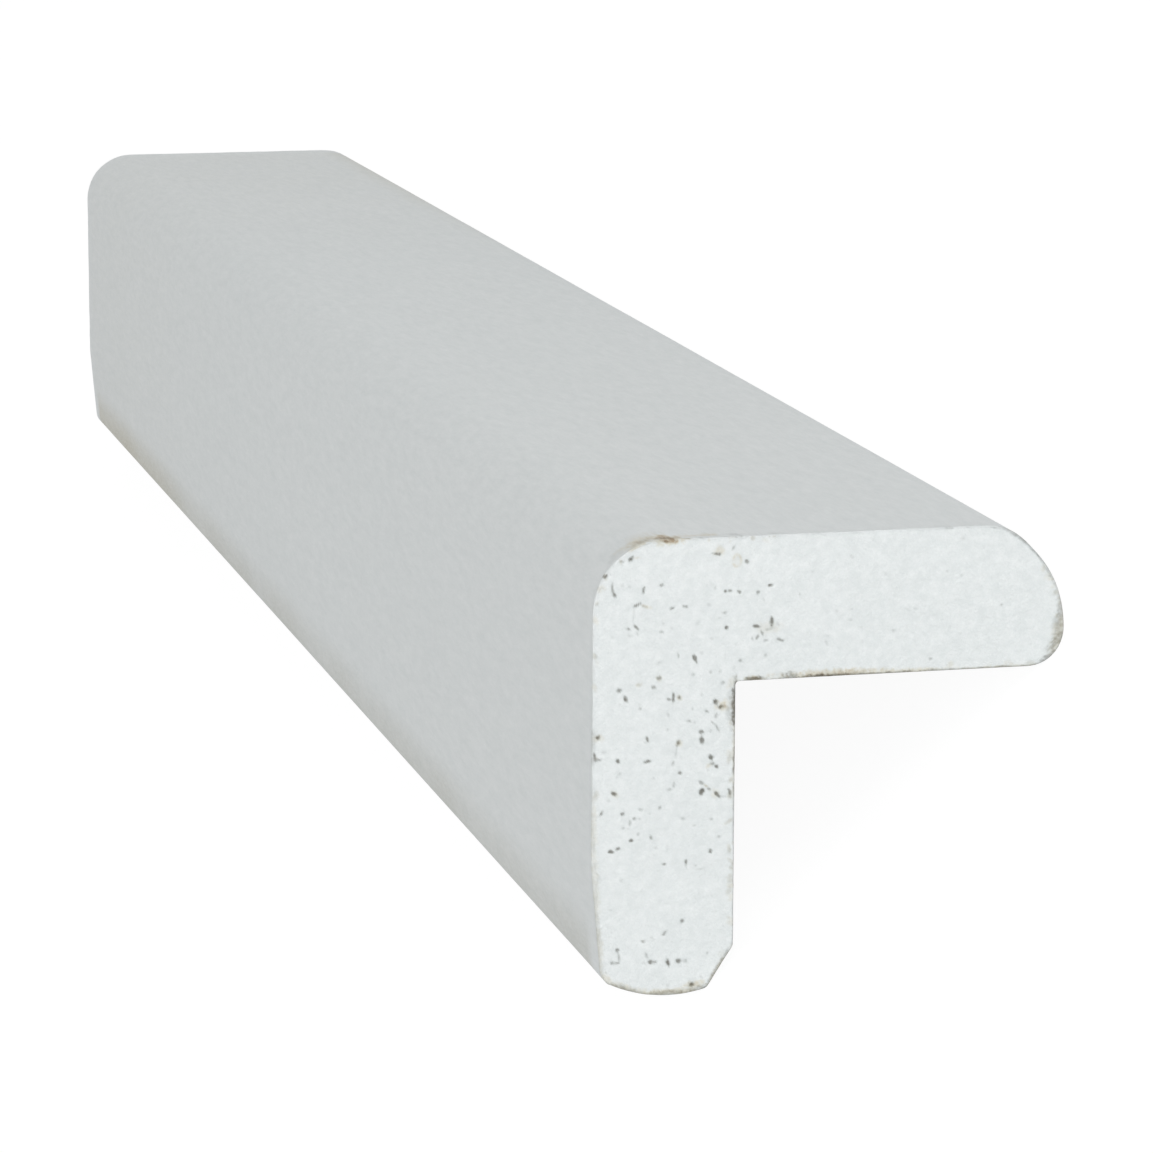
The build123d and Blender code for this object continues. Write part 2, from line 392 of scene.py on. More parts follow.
# Grey smudges, most of them along the edges
NEAR_SMUDGES = [
    (9.75, -8.50, 1.0, 0.28, 0, 0.90), (11.80, -8.48, 1.1, 0.50, 0, 0.55),
    (13.70, -8.54, 2.8, 0.22, 0, 0.95), (16.50, -8.56, 4.0, 0.12, 0, 0.75),
    (20.40, -8.56, 4.4, 0.10, 0, 0.50), (24.60, -8.56, 4.0, 0.08, 0, 0.35),
    (8.54, -9.90, 2.7, 0.32, 90, 1.00), (8.46, -10.10, 2.4, 0.66, 90, 0.34),
    (8.60, -13.30, 2.0, 0.13, 90, 0.60), (8.58, -15.10, 1.2, 0.20, 90, 0.45),
    (8.57, -17.00, 3.0, 0.12, 90, 0.30), (8.55, -20.60, 4.0, 0.08, 90, 0.18),
    (8.55, -23.20, 1.4, 0.12, 90, 0.40), (0.02, -11.30, 0.5, 0.20, 90, 0.35),
    (0.12, -17.80, 1.0, 0.16, 90, 0.20), (0.42, -20.00, 1.0, 0.26, 80, 0.14),
    (28.32, -5.60, 3.6, 0.56, 84, 0.38), (28.14, -7.10, 2.1, 0.62, 62, 0.46),
    (27.66, -8.06, 1.8, 0.50, 40, 0.54), (2.20, -26.70, 2.6, 0.34, -18, 0.44),
    (4.60, -27.06, 3.2, 0.32, 0, 0.44), (6.30, -26.92, 1.8, 0.32, 10, 0.40),
    (7.74, -25.64, 3.2, 0.34, 57, 0.46), (25.40, -0.60, 1.8, 0.24, -35, 0.42),
    (26.70, -1.70, 2.2, 0.24, -52, 0.48), (27.55, -2.95, 1.6, 0.22, -62, 0.34),
    (28.10, -6.75, 0.3, 0.20, 0, 0.40), (27.88, -6.30, 1.1, 0.16, 88, 0.18),
    (24.30, -0.20, 0.8, 0.14, -10, 0.35), (21.40, -0.08, 0.7, 0.14, 0, 0.35),
    (22.60, -0.08, 0.7, 0.12, 0, 0.25), (15.75, -0.12, 0.9, 0.16, -8, 0.18),
    (13.00, -0.06, 1.4, 0.10, 0, 0.14), (4.55, -0.10, 0.9, 0.18, 4, 0.42),
    (3.20, -0.26, 1.2, 0.12, 18, 0.26), (6.30, -0.05, 1.6, 0.12, 0, 0.34),
    (8.70, -0.05, 1.2, 0.12, 0, 0.42),
]

# Tan stains round some pits and along some edges
NEAR_STAINS = [
    (7.50, -0.85, 0.55, 0.45, 0, 0.35), (7.82, -9.98, 0.65, 0.55, 0, 0.60),
    (3.20, -3.92, 0.50, 0.16, -15, 0.40), (2.65, -1.05, 0.36, 0.14, 0, 0.25),
    (6.20, -26.66, 1.30, 0.36, 5, 0.50), (2.82, -8.50, 0.36, 0.22, 10, 0.30),
    (4.00, -8.20, 0.36, 0.32, 0, 0.30), (5.24, -9.38, 0.32, 0.26, 0, 0.35),
    (5.24, -12.10, 0.36, 0.30, 0, 0.35), (7.05, -13.50, 0.36, 0.22, 30, 0.35),
    (0.40, -11.55, 0.55, 0.40, 0, 0.30), (1.37, -14.90, 0.50, 0.35, -40, 0.30),
    (6.85, -14.70, 0.34, 0.14, -30, 0.35), (7.40, -15.20, 0.60, 0.40, -40, 0.20),
    (10.50, -5.50, 1.30, 0.60, 0, 0.16), (4.50, -0.10, 1.40, 0.42, 0, 0.90),
    (2.55, -0.42, 0.90, 0.20, 26, 0.45), (5.30, -0.04, 1.00, 0.16, 0, 0.35),
    (8.60, -1.48, 0.55, 0.75, 0, 0.10), (14.60, -8.42, 5.60, 0.42, 0, 0.65),
    (18.80, -8.50, 5.00, 0.26, 0, 0.45), (11.80, -8.40, 1.40, 0.50, 0, 0.20),
    (24.50, -8.56, 6.00, 0.18, 0, 0.40), (8.45, -8.60, 0.80, 0.50, 50, 0.20),
    (8.55, -12.60, 5.00, 0.24, 90, 0.35), (28.30, -6.60, 3.00, 0.70, 78, 0.40),
    (4.60, -27.00, 5.00, 0.36, 0, 0.50), (7.76, -25.74, 3.00, 0.36, 57, 0.42),
    (2.00, -26.56, 2.40, 0.36, -17, 0.42), (0.12, -17.20, 3.60, 0.36, 90, 0.20),
    (0.26, -20.80, 4.20, 0.40, -87, 0.20), (0.46, -24.00, 3.00, 0.42, -85, 0.24),
    (0.95, -26.00, 1.60, 0.42, -50, 0.32), (9.75, -8.50, 1.10, 0.34, 0, 0.55),
]

# The ring-shaped stain beside the first leg's pits: x, y, half sizes, line width, strength
RING_STAIN = (8.60, -1.48, 0.24, 0.34, 0.09, 0.36)

# Where fine pores are scattered: x, y, spread across, spread along -y, count
PORE_FIELDS = [
    (4.6, -5.0, 3.4, 3.6, 10), (4.4, -13.5, 3.4, 4.2, 14),
    (4.3, -21.0, 3.2, 4.4, 10), (9.5, -4.4, 2.6, 2.6, 5),
    (19.0, -4.4, 7.0, 2.6, 8),
]

# Pale scratches that the saw left: from, to
SCRATCHES = [
    ((23.4, -2.0), (24.0, -2.9)), ((24.3, -3.0), (24.7, -3.6)),
    ((25.0, -4.1), (25.5, -4.9)), ((25.8, -5.2), (26.2, -6.1)),
    ((26.2, -6.2), (27.1, -8.0)), ((17.2, -2.4), (19.9, -5.6)),
    ((19.2, -3.8), (21.6, -6.8)), ((13.0, -5.4), (15.4, -7.6)),
    ((20.6, -1.8), (22.8, -4.6)), ((11.6, -5.9), (13.2, -7.2)),
]

# Marks on the outside beside the near end, as ellipses over the distance along the leg and the
# depth: brown smears and grey ones on the first leg
OUTSIDE_STAINS = [
    (2.1, 0.9, 0.9, 1.0, 0, 0.25), (2.8, 0.7, 1.1, 1.5, 0, 0.55),
    (3.5, 0.8, 1.3, 1.4, 0, 0.55), (4.3, 0.5, 1.1, 1.4, 0, 0.90),
    (4.9, 0.3, 0.9, 0.9, 0, 0.75), (5.7, 0.7, 1.7, 0.6, 0, 0.32),
    (7.0, 0.8, 1.1, 0.7, 0, 0.38),
]
OUTSIDE_SMUDGES = [
    (8.6, 0.5, 1.0, 0.5, 0, 0.24), (10.8, 0.3, 0.9, 0.4, 0, 0.16),
    (13.4, 0.2, 1.2, 0.3, 0, 0.12), (1.5, 0.7, 1.0, 0.9, 0, 0.16),
    (4.3, 0.3, 1.1, 0.4, 0, 0.40), (3.1, 0.5, 1.0, 0.6, 0, 0.24),
]

# Wear of the near end's edge: run, from, to along the leg, width, how bare
EDGE_MARKS = [
    ("first_outside", 2.2, 3.6, 0.04, 0.10), ("first_outside", 3.8, 5.4, 0.12, 0.22),
    ("first_outside", 5.4, 7.4, 0.05, 0.14), ("first_outside", 8.0, 9.2, 0.04, 0.20),
    ("first_outside", 10.2, 11.4, 0.04, 0.14), ("first_outside", 13.0, 14.2, 0.03, 0.14),
    ("first_outside", 18.6, 24.8, 0.05, 0.16), ("first_outside", 24.2, 27.4, 0.05, 0.55),
    ("second_outside", 0.4, 2.8, 0.06, 0.16), ("second_outside", 7.0, 8.6, 0.05, 0.14),
    ("second_outside", 10.8, 13.4, 0.09, 0.34), ("second_outside", 15.6, 18.4, 0.09, 0.22),
    ("second_outside", 18.6, 21.2, 0.12, 0.18), ("second_outside", 20.6, 26.6, 0.08, 0.24),
    ("first_end", 1.4, 8.4, 0.02, 0.40), ("first_end", 4.8, 8.6, 0.03, 0.46),
    ("first_wall", 26.2, 28.4, 0.03, 0.42), ("second_end", 0.6, 8.6, 0.05, 0.48),
    ("second_end", 2.4, 6.8, 0.03, 0.55), ("first_wall", 9.4, 10.4, 0.05, 0.80),
    ("first_wall", 11.1, 12.5, 0.06, 0.85), ("first_wall", 12.2, 15.8, 0.06, 1.00),
    ("first_wall", 15.0, 19.6, 0.06, 0.85), ("first_wall", 19.0, 27.0, 0.05, 0.55),
    ("second_wall", 8.6, 11.4, 0.06, 1.00), ("second_wall", 11.0, 12.6, 0.03, 0.35),
    ("second_wall", 12.3, 14.4, 0.05, 0.75), ("second_wall", 14.2, 17.6, 0.05, 0.50),
    ("second_wall", 17.0, 26.6, 0.04, 0.32),
]


def mark_strengths(x, y, marks, seed):
    """For each ellipse in turn: which points are near it, how strongly it shows there, and the
    ellipse. Its rim is ragged and soft."""
    ragged = 0.40 * value_noise(x, y, 0.12, seed) + 0.25 * value_noise(x, y, 0.27, seed + 1)
    for mark in marks:
        middle_x, middle_y, length, width, angle, _ = mark
        span = max(length, width)
        near = (np.abs(x - middle_x) < span) & (np.abs(y - middle_y) < span)
        across, along = x[near] - middle_x, y[near] - middle_y
        cosine, sine = math.cos(math.radians(angle)), math.sin(math.radians(angle))
        reach = np.hypot((across * cosine + along * sine) / (length / 2),
                         (along * cosine - across * sine) / (width / 2)) + ragged[near]
        yield near, smooth_step(1.7, 0.3, reach), mark


def pit_relief(x, y, pits, seed):
    """Depth in millimetres and bareness of the pits at each point of a sawn end."""
    depth, bare_and_shade = np.zeros_like(x), np.zeros_like(x)
    for near, strength, (_, _, length, width, _, tone) in mark_strengths(x, y, pits, seed):
        deepest = tone * min(0.4 * min(length, width), DEEPEST_PIT)
        depth[near] = np.maximum(depth[near], deepest * strength)
        bare_and_shade[near] = np.maximum(bare_and_shade[near], tone * strength)
    return depth, bare_and_shade


def smears(x, y, marks, seed):
    """How strongly flat marks show at each point."""
    shown = np.zeros_like(x)
    for near, strength, mark in mark_strengths(x, y, marks, seed):
        shown[near] = np.maximum(shown[near], mark[-1] * strength)
    return shown


def edge_specks(random):
    """Faint specks close to the near end's edge, as sanding leaves them."""
    specks = []
    for _ in range(EDGE_SPECK_COUNT):
        corner = random.integers(CLEAN_LINES, len(OUTLINE))
        x, y = OUTLINE[corner] + INWARD[corner] * random.uniform(0.02, 0.34)
        length = random.uniform(0.18, 0.55)
        specks.append((x, y, length, length * random.uniform(0.4, 0.8), random.uniform(0, 180),
                       random.uniform(0.08, 0.26)))
    return specks


def scattered_pores(random):
    """Small pits at random places of the pore fields."""
    pores = []
    for x, y, spread_x, spread_y, count in PORE_FIELDS:
        for _ in range(count):
            length = random.uniform(0.14, 0.24)
            pores.append((x + spread_x * random.uniform(-1, 1),
                          y + spread_y * random.uniform(-1, 1), length,
                          length * random.uniform(0.6, 0.9), random.uniform(0, 180),
                          random.uniform(0.08, 0.30)))
    return pores


def far_pits(random):
    """Pits of the far end, which the photograph doesn't show, of the near end's kind."""
    pits = []
    while len(pits) < FAR_PIT_COUNT:
        x, y = random.uniform(0.4, 20), random.uniform(-26.5, -0.4)
        if x < THICKNESS - 0.4 or y > 0.4 - THICKNESS:
            length = random.uniform(0.4, 0.75)
            pits.append((x, y, length, length * random.uniform(0.5, 0.8), random.uniform(0, 180),
                         random.uniform(0.4, 0.9)))
    return pits


def ring_stain(x, y):
    """How strongly the broken ring-shaped stain shows."""
    ring_x, ring_y, half_x, half_y, width, tone = RING_STAIN
    off = np.abs(np.hypot((x - ring_x) / half_x, (y - ring_y) / half_y) - 1) * (half_x + half_y) / 2
    broken = np.clip(0.55 + 0.9 * value_noise(x, y, 0.22, 31), 0, 1)
    return tone * broken * smooth_step(width * 1.5, width * 0.3, off)


def scratch_relief(x, y):
    """Depth of the saw's fine scratches."""
    depth = np.zeros_like(x)
    for start, end in SCRATCHES:
        start, run = np.array(start), np.array(end) - np.array(start)
        share = np.clip(((x - start[0]) * run[0] + (y - start[1]) * run[1]) / (run @ run), 0, 1)
        off = np.hypot(x - start[0] - share * run[0], y - start[1] - share * run[1])
        wobble = 0.03 * value_noise(x, y, 0.7, 41)
        shown = smooth_step(0.18, 0.03, off + wobble)
        depth = np.maximum(depth, SCRATCH_DEPTH * shown * np.sin(math.pi * share))
    return depth


def grain_relief(x, y):
    """The primer's skin over the sawn end grain: low bumps and shallow dimples."""
    bumps = value_noise(x, y, 0.34, 51) * 0.6 + value_noise(x, y, 0.19, 52) * 0.4
    return END_INSET + END_BUMPS * bumps + END_BUMPS * value_noise(x, y, 2.3, 53)


def edge_wear(arris):
    """How far the edge is broken at each point of the outline, in millimetres, and how bare."""
    x, y = OUTLINE[:, 0], OUTLINE[:, 1]
    first = np.char.startswith(RUN_NAMES, "first") ^ (RUN_NAMES == "first_end")
    along = np.where(first | (RUN_NAMES == "second_end"), x, -y)
    ragged = value_noise(x, y, 0.33, 61) * 0.6 + value_noise(x, y, 0.9, 62) * 0.4
    width = arris * (1 + 0.45 * ragged)
    bare_and_shade = np.zeros(len(OUTLINE))
    for run, start, end, extra, tone in EDGE_MARKS:
        soft = min(0.6, (end - start) / 3)
        inside = smooth_step(start, start + soft, along) * smooth_step(end, end - soft, along)
        inside = inside * (RUN_NAMES == run) * (0.75 + 0.4 * ragged)
        width = width + extra * np.clip(inside, 0, 1)
        bare_and_shade = np.maximum(bare_and_shade, tone * inside)
    chips = smooth_step(0.45, 0.9, value_noise(x, y, 0.55, 63)) * (RUN_NAMES == "second_outside")
    return width + 0.06 * chips, np.maximum(bare_and_shade, 0.12 * chips)


# The mesh

class Shell:
    """Points, faces and marks of the mesh, as they are added."""

    def __init__(self):
        self.points = []
        self.faces = []
        # The first two marks also carry painted shade along the roundings that lie on the floor and
        # close to the near end's edge
        self.marks = {"bare_and_shade": [], "stain_and_shade": [], "sawn": []}
        self.count = 0

    def add(self, flat, depth, bare_and_shade=0.0, stain_and_shade=0.0, sawn=0.0):
        """Adds points of the section at a depth, and returns their numbers."""
        self.points.append(place(flat, depth))
        for name, values in (("bare_and_shade", bare_and_shade), ("stain_and_shade", stain_and_shade), ("sawn", sawn)):
            self.marks[name].append(np.broadcast_to(values, len(flat)).copy())
        self.count += len(flat)
        return np.arange(self.count - len(flat), self.count)

    def grid(self, numbers):
        """Faces between the rows and columns of a grid of points."""
        corners = (numbers[:-1, :-1], numbers[1:, :-1], numbers[1:, 1:], numbers[:-1, 1:])
        self.faces += np.stack([corner.ravel() for corner in corners], 1).tolist()

    def band(self, ring, other):
        """Faces between two closed rings with as many points."""
        self.grid(np.stack([np.append(ring, ring[0]), np.append(other, other[0])]))

    def fan_band(self, fine, coarse):
        """Faces between a closed ring and one that has every so many of its points."""
        step = len(fine) // len(coarse)
        middle = (step + 1) // 2
        for k, corner in enumerate(coarse):
            next_corner = coarse[(k + 1) % len(coarse)]
            stretch = [fine[(k * step + m) % len(fine)] for m in range(step + 1)]
            self.faces += [[corner, stretch[m], stretch[m + 1]] for m in range(middle)]
            self.faces += [[next_corner, stretch[m], stretch[m + 1]] for m in range(middle, step)]
            self.faces.append([corner, stretch[middle], next_corner])


def fill(loop, along, across):
    """A grid of points inside a closed outline. The bulge of each leg's end dies out along it."""
    outside = loop[: along + 1]
    second_end = loop[along: along + across + 1]
    wall = loop[along + across: 2 * along + across + 1][::-1]
    first_end = np.concatenate([loop[2 * along + across:], loop[:1]])[::-1]
    u = np.linspace(0, 1, along + 1)[:, None, None]
    v = np.linspace(0, 1, across + 1)[None, :, None]
    grid = outside[:, None] * (1 - v) + wall[:, None] * v
    fade = 0.2
    first_bulge = first_end[None] - first_end[0] * (1 - v) - first_end[-1] * v
    second_bulge = second_end[None] - second_end[0] * (1 - v) - second_end[-1] * v
    return (grid + np.clip(1 - u / fade, 0, 1) ** 2 * first_bulge
            + np.clip(1 - (1 - u) / fade, 0, 1) ** 2 * second_bulge)


def rim(numbers):
    """The numbers round a grid's edge, in the outline's order."""
    return np.concatenate([numbers[:-1, 0], numbers[-1, :-1],
                           numbers[:0:-1, -1], numbers[0, :0:-1]])


def add_end(shell, loop, along, across, relief, side_of, bare_rim):
    """One sawn end as a grid. Returns the numbers round its edge."""
    points = fill(loop, along, across).reshape(-1, 2)
    depth, bare_and_shade, stain_and_shade = relief(points[:, 0], points[:, 1])
    numbers = shell.add(points, side_of(depth), bare_and_shade, stain_and_shade, 1.0).reshape(along + 1, across + 1)
    edge = rim(numbers)
    offset = edge - numbers[0, 0]
    shell.points[-1][offset] = place(points[offset], side_of(0.0))
    shell.marks["bare_and_shade"][-1][offset] = np.maximum(bare_and_shade[offset], 0.75 * bare_rim)
    shell.grid(numbers)
    return edge


def side_relief(loop, depth):
    """How far the sides lie inside the solid: the slight waves that planing left."""
    along = loop[:, 0] + loop[:, 1]
    waves = value_noise(along, np.full(len(loop), depth), 9.0, 71)
    long_waves = value_noise(along / 6, np.full(len(loop), depth), 26.0, 72)
    return SIDE_INSET + 0.004 * waves + 0.006 * long_waves


def foot_shade_and_stain(loop, depth):
    """How dark and how tan the primer is painted along the outer roundings of both legs' ends,
    where
    they lie on the floor: painted shade from the floor, partly tan stain. The stains grow towards
    the far end."""
    toe = smooth_step(3.9, 0.4, np.hypot(*(loop - TOE_SHADE_AND_STAIN).T))
    nose = smooth_step(4.0, 1.0, np.hypot(*(loop - NOSE_SHADE_AND_STAIN).T))
    patches = 0.85 + 0.25 * value_noise(np.full(len(loop), depth), loop[:, 0], 7.0, 81)
    far = smooth_step(110, STICK_LENGTH, depth)
    stain_and_shade = 0.18 * toe + (0.30 * toe + 0.24 * nose + 0.035) * far
    return 0.16 * toe * patches, stain_and_shade * patches


def rim_shade(depth):
    """How much darker the primer is close to the near end's edge."""
    return 0.07 * smooth_step(0.7, 0.05, depth)


def outside_marks(depth):
    """Smudges and stains on the first leg's outside, at a depth."""
    x = OUTLINE[:, 0]
    on_outside = (RUN_NAMES == "first_outside") | ((RUN_NAMES == "second_outside") & (x > 1.0))
    smudge = smears(x, depth, OUTSIDE_SMUDGES, 83) * on_outside
    return smudge, smears(x, depth, OUTSIDE_STAINS, 85) * on_outside


def near_relief(x, y):
    """Depth, bareness and stains over the near end and its broken edge."""
    pores = scattered_pores(np.random.default_rng(7))
    pit_depth, pit_bare = pit_relief(x, y, NEAR_PITS, 11)
    pore_depth, pore_bare = pit_relief(x, y, pores, 13)
    depth = np.maximum(pit_depth, pore_depth) + scratch_relief(x, y) + grain_relief(x, y)
    specks = edge_specks(np.random.default_rng(27))
    bare_and_shade = np.maximum.reduce([pit_bare, pore_bare, smears(x, y, NEAR_SMUDGES + specks[::2], 21)])
    return depth, bare_and_shade, np.maximum(smears(x, y, NEAR_STAINS + specks, 23), ring_stain(x, y))


def far_relief(x, y):
    """Depth, bareness and stains over the far end."""
    depth, bare_and_shade = pit_relief(x, y, far_pits(np.random.default_rng(17)), 19)
    return depth + grain_relief(x, y), bare_and_shade, 0.2 * bare_and_shade


def add_near_end(shell):
    """The near end, its broken edge and the first of the sides. Returns its last ring."""
    width, bare_and_shade = edge_wear(NEAR_ARRIS)
    inner = OUTLINE + INWARD * width[:, None]
    ring = add_end(shell, inner, LINES_ALONG, LINES_ACROSS, near_relief, lambda depth: depth, bare_and_shade)
    _, smudge, stain_and_shade = near_relief(OUTLINE[:, 0], OUTLINE[:, 1])
    steps = [(0.40, 0.22, 1.0), (0.10, 0.60, 1.0), (0.0, 1.0, 0.8)]
    rings = [(share * width, down * width, tone * np.maximum(bare_and_shade, smudge), stain_and_shade)
             for share, down, tone in steps]
    for share in (0.06, 0.22, 0.42, 0.68, 1.0):
        rings.append((0.0, width + share * (FINE_DEPTH - width), 0.0, 0.0))
    for inset, depth, tone, tint in rings:
        outside_smudge, outside_stain = outside_marks(depth)
        sunk = np.maximum(inset, side_relief(OUTLINE, 0.0))
        following = shell.add(OUTLINE + INWARD * sunk[:, None], depth,
                              np.maximum(np.maximum(tone, outside_smudge), rim_shade(depth)),
                              np.maximum(tint, outside_stain))
        shell.band(ring, following)
        ring = following
    return ring


def add_sides(shell, ring):
    """The long faces, with fewer lines than the near end."""
    loop, inward = OUTLINE[::SIDE_STEP], INWARD[::SIDE_STEP]
    depths = np.linspace(SIDE_DEPTH, STICK_LENGTH - SIDE_DEPTH, SIDE_RINGS + 1)
    for k, depth in enumerate(depths):
        sunk = side_relief(loop, depth)
        # The outer roundings that lie on the floor get painted shade here, partly tan stain
        following = shell.add(loop + inward * sunk[:, None], depth, *foot_shade_and_stain(loop, depth))
        if k == 0:
            shell.fan_band(ring, following)
        else:
            shell.band(ring, following)
        ring = following
    return ring


def add_far_end(shell, ring):
    """The far end and its broken edge."""
    loop, inward = OUTLINE[::FAR_STEP], INWARD[::FAR_STEP]
    ragged = value_noise(loop[:, 0], loop[:, 1], 0.8, 91)
    width = FAR_ARRIS * (1 + 0.4 * ragged)
    bare_and_shade = 0.45 * smooth_step(0.1, 0.7, value_noise(loop[:, 0], loop[:, 1], 2.1, 92))
    steps = [(0.0, STICK_LENGTH - FINE_DEPTH, 0.0), (0.0, STICK_LENGTH - width - 0.2, 0.0),
             (0.0, STICK_LENGTH - width, bare_and_shade), (0.35 * width, STICK_LENGTH - 0.35 * width, bare_and_shade)]
    for k, (inset, depth, tone) in enumerate(steps):
        sunk = np.maximum(inset, side_relief(loop, STICK_LENGTH))
        following = shell.add(loop + inward * sunk[:, None], depth, tone)
        if k == 0:
            shell.fan_band(following, ring)
        else:
            shell.band(ring, following)
        ring = following
    inner = loop + inward * width[:, None]
    face = add_end(shell, inner, LINES_ALONG // FAR_STEP, LINES_ACROSS // FAR_STEP, far_relief,
                   lambda depth: STICK_LENGTH - depth, bare_and_shade)
    shell.band(ring, face)


def moulding_mesh():
    """The whole stick as one closed mesh with its marks."""
    shell = Shell()
    ring = add_near_end(shell)
    ring = add_sides(shell, ring)
    add_far_end(shell, ring)
    mesh = bpy.data.meshes.new("primed_moulding")
    mesh.from_pydata(np.concatenate(shell.points).tolist(), [], shell.faces)
    for name, values in shell.marks.items():
        attribute = mesh.attributes.new(name, "FLOAT", "POINT")
        attribute.data.foreach_set("value", np.concatenate(values).astype(np.float32))
    shape = bmesh.new()
    shape.from_mesh(mesh)
    bmesh.ops.recalc_face_normals(shape, faces=shape.faces)
    shape.to_mesh(mesh)
    shape.free()
    mesh.shade_smooth()
    return mesh


# Materials

def add_node(tree, kind, inputs=None, **settings):
    """A shader node whose inputs are given as values or as other nodes' outputs."""
    made = tree.nodes.new(kind)
    for name, value in settings.items():
        setattr(made, name, value)
    for key, value in (inputs or {}).items():
        if isinstance(value, bpy.types.NodeSocket):
            tree.links.new(value, made.inputs[key])
        else:
            made.inputs[key].default_value = value
    return made


def math_node(tree, operation, first, second, third=0.0):
    """The result of a sum on two or three values or outputs."""
    inputs = {0: first, 1: second, 2: third}
    return add_node(tree, "ShaderNodeMath", inputs, operation=operation).outputs[0]


def noise(tree, position, feature, detail=2.0, roughness=0.5):
    """Noise from 0 to 1 with features of the given size in metres."""
    inputs = {"Vector": position, "Scale": 1 / feature, "Detail": detail, "Roughness": roughness}
    return add_node(tree, "ShaderNodeTexNoise", inputs).outputs["Fac"]


def spread(tree, value, low, high, to_low, to_high):
    """A value moved from one range to another."""
    inputs = {"Value": value, "From Min": low, "From Max": high,
              "To Min": to_low, "To Max": to_high}
    return add_node(tree, "ShaderNodeMapRange", inputs).outputs["Result"]


def mix_colours(tree, factor, first, second):
    """A mix of two colours or colour outputs."""
    made = tree.nodes.new("ShaderNodeMix")
    made.data_type = "RGBA"
    values = ((made.inputs[0], factor), (made.inputs[6], first), (made.inputs[7], second))
    for socket, value in values:
        if isinstance(value, bpy.types.NodeSocket):
            tree.links.new(value, socket)
        else:
            socket.default_value = value
    return made.outputs[2]


def colour_ramp(tree, value, stops):
    """The colour at a value between 0 and 1 on a ramp of positions and colours."""
    made = add_node(tree, "ShaderNodeValToRGB", {"Fac": value})
    ramp = made.color_ramp
    ramp.elements[0].color, ramp.elements[1].color = stops[0][1], stops[-1][1]
    for position, colour in stops[1:-1]:
        ramp.elements.new(position).color = colour
    return made.outputs["Color"]


def multiply_colours(tree, first, second):
    """The product of two colours."""
    made = tree.nodes.new("ShaderNodeMix")
    made.data_type = "RGBA"
    made.blend_type = "MULTIPLY"
    made.inputs[0].default_value = 1.0
    tree.links.new(first, made.inputs[6])
    tree.links.new(second, made.inputs[7])
    return made.outputs[2]


def primer_material():
    """White primer over wood: a fine eggshell skin, brown-grey pores, worn edges and painted shade
    along the roundings that lie on the floor and close to the near end's edge.
    """
    material = bpy.data.materials.new("white_primer")
    material.use_nodes = True
    tree = material.node_tree
    shader = tree.nodes["Principled BSDF"]
    object_place = add_node(tree, "ShaderNodeTexCoord").outputs["Object"]
    brushed = add_node(tree, "ShaderNodeMapping",
                       {"Vector": object_place, "Scale": (1, BRUSHING, 1)})
    place_of = brushed.outputs["Vector"]
    bare_and_shade = add_node(tree, "ShaderNodeAttribute", attribute_name="bare_and_shade").outputs["Fac"]
    stain_and_shade = add_node(tree, "ShaderNodeAttribute", attribute_name="stain_and_shade").outputs["Fac"]
    sawn = add_node(tree, "ShaderNodeAttribute", attribute_name="sawn").outputs["Fac"]

    cloud = noise(tree, place_of, CLOUD_SIZE, 3.0)
    skin = noise(tree, place_of, SKIN_SIZE, 4.0, 0.8)
    thinness = spread(tree, cloud, 0.3, 0.7, 0, 1)
    primer = mix_colours(tree, thinness, THICK_PRIMER, THIN_PRIMER)
    mottling = math_node(tree, "MULTIPLY", spread(tree, skin, 0.3, 0.7, 0, 0.75),
                         math_node(tree, "MULTIPLY_ADD", sawn, SAWN_MOTTLING, 1.0))
    primer = mix_colours(tree, mottling, primer, HOLLOW_PRIMER)

    ragged = spread(tree, noise(tree, place_of, RAGGED_SIZE, 2.0), 0.3, 0.7, 0.78, 1.22)
    # Along the roundings that lie on the floor and close to the near end's edge, the bare and stain
    # marks are painted shade
    shown_bare_and_shade = math_node(tree, "MULTIPLY", bare_and_shade, ragged)
    tinted = math_node(tree, "MULTIPLY", stain_and_shade, ragged)
    colour = multiply_colours(tree, primer, colour_ramp(tree, shown_bare_and_shade, BARE_AND_SHADE_COLOURS))
    colour = multiply_colours(tree, colour, colour_ramp(tree, tinted, STAIN_AND_SHADE_COLOURS))
    tree.links.new(colour, shader.inputs["Base Color"])

    primer_roughness = spread(tree, skin, 0.3, 0.7, 0.50, 0.62)
    bare_roughness = spread(tree, shown_bare_and_shade, 0.1, 0.5, 0.5, 0.85)
    roughness = math_node(tree, "MAXIMUM", primer_roughness, bare_roughness)
    tree.links.new(roughness, shader.inputs["Roughness"])
    shader.inputs["Specular IOR Level"].default_value = 0.35

    fuzz = noise(tree, place_of, FUZZ_SIZE, 3.0, 0.6)
    dents = noise(tree, place_of, DENT_SIZE, 2.0)
    fuzz_share = math_node(tree, "MULTIPLY_ADD", sawn, SAWN_FUZZ, 0.9)
    height = math_node(tree, "MULTIPLY_ADD", fuzz, fuzz_share, dents)
    bump = add_node(tree, "ShaderNodeBump",
                    {"Height": height, "Strength": 1.0, "Distance": BUMP_HEIGHT})
    tree.links.new(bump.outputs["Normal"], shader.inputs["Normal"])
    return material


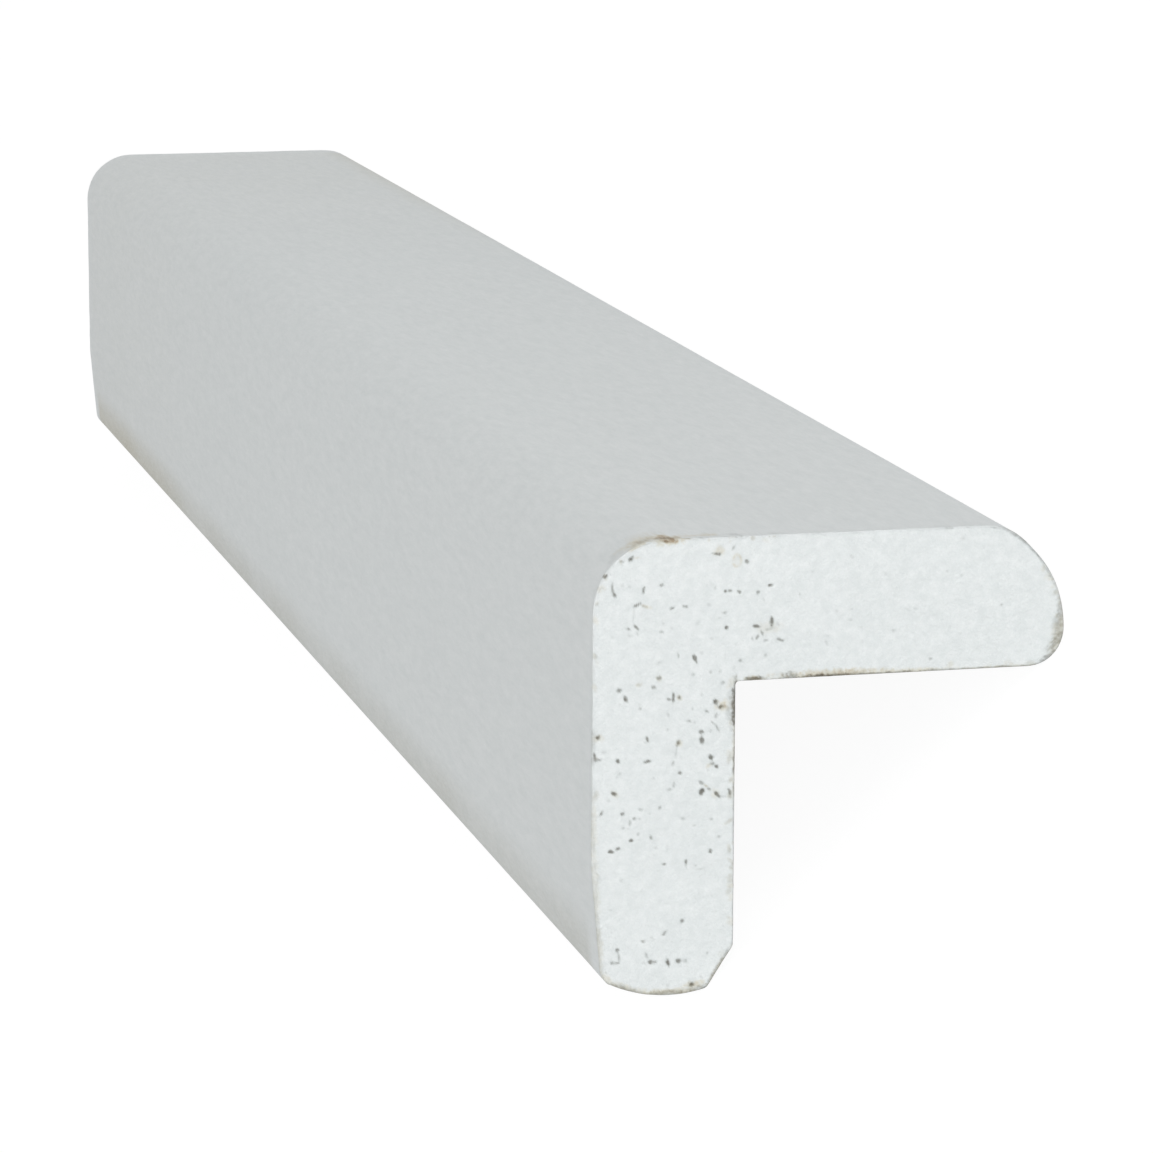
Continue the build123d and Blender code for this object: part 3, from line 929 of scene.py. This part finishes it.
def floor_material():
    """A pale floor that the camera sees as white, apart from the object's soft shadow."""
    material = bpy.data.materials.new("pale_floor")
    material.use_nodes = True
    tree = material.node_tree
    tree.nodes.remove(tree.nodes["Principled BSDF"])
    matt = add_node(tree, "ShaderNodeBsdfDiffuse", {"Color": (0.8, 0.8, 0.8, 1)})
    glow = add_node(tree, "ShaderNodeEmission", {"Color": (1, 1, 1, 1), "Strength": FLOOR_GLOW})
    path = add_node(tree, "ShaderNodeLightPath")
    seen = math_node(tree, "MULTIPLY", path.outputs["Is Camera Ray"], FLOOR_GLOW_SHARE)
    mixed = add_node(tree, "ShaderNodeMixShader",
                     {"Fac": seen, 1: matt.outputs[0], 2: glow.outputs[0]})
    tree.links.new(mixed.outputs[0], tree.nodes["Material Output"].inputs["Surface"])
    return material


# Stage, light and camera

def add_floor():
    """A level floor under the stick."""
    half = FLOOR_SIZE / 2
    corners = [(-half, -half, 0), (half, -half, 0), (half, half, 0), (-half, half, 0)]
    mesh = bpy.data.meshes.new("floor")
    mesh.from_pydata(corners, [], [(0, 1, 2, 3)])
    mesh.materials.append(floor_material())
    floor = bpy.data.objects.new("floor", mesh)
    bpy.context.collection.objects.link(floor)


def add_world():
    """White for the camera and for reflections, and an even soft light for the rest."""
    world = bpy.data.worlds.new("studio")
    world.use_nodes = True
    tree = world.node_tree
    path = add_node(tree, "ShaderNodeLightPath")
    seen = math_node(tree, "MAXIMUM", path.outputs["Is Camera Ray"],
                     path.outputs["Is Glossy Ray"])
    seen = math_node(tree, "MAXIMUM", seen, path.outputs["Is Transmission Ray"])
    background = tree.nodes["Background"]
    background.inputs["Color"].default_value = (1, 1, 1, 1)
    tree.links.new(spread(tree, seen, 0, 1, SKY_STRENGTH, 1), background.inputs["Strength"])
    bpy.context.scene.world = world


def add_lamp(name, place_at, size, watts):
    """A square soft lamp that faces the origin."""
    light = bpy.data.lights.new(name, "AREA")
    light.size = size
    light.energy = watts
    lamp = bpy.data.objects.new(name, light)
    lamp.location = place_at
    lamp.rotation_euler = (-Vector(place_at)).to_track_quat("-Z", "Y").to_euler()
    bpy.context.collection.objects.link(lamp)


def add_camera():
    """The photograph's camera, rolled so that the first leg shows level."""
    azimuth, elevation, roll = map(math.radians, (CAMERA_AZIMUTH, CAMERA_ELEVATION, CAMERA_ROLL))
    forward = Vector((-math.sin(azimuth) * math.cos(elevation),
                      math.cos(azimuth) * math.cos(elevation), -math.sin(elevation)))
    level_right = forward.cross(Vector((0, 0, 1))).normalized()
    level_up = level_right.cross(forward)
    right = math.cos(roll) * level_right - math.sin(roll) * level_up
    up = math.sin(roll) * level_right + math.cos(roll) * level_up
    data = bpy.data.cameras.new("camera")
    data.lens = CAMERA_LENS
    data.sensor_width = SENSOR_WIDTH
    data.clip_start = 0.01
    camera = bpy.data.objects.new("camera", data)
    turned = Matrix((right, up, -forward)).transposed().to_4x4()
    camera.matrix_world = Matrix.Translation(CAMERA_PLACE) @ turned
    bpy.context.collection.objects.link(camera)
    bpy.context.scene.camera = camera


def add_moulding():
    """The detailed stick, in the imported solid's place."""
    mesh = moulding_mesh()
    mesh.materials.append(primer_material())
    moulding = bpy.data.objects.new("primed_moulding", mesh)
    bpy.context.collection.objects.link(moulding)
    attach(moulding, "root")
    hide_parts("corner_moulding")


add_moulding()
add_floor()
add_world()
add_lamp("front_lamp", *FRONT_LAMP)
add_lamp("left_lamp", *LEFT_LAMP)
add_lamp("right_lamp", *RIGHT_LAMP)
add_camera()
bpy.context.scene.view_settings.view_transform = "Standard"
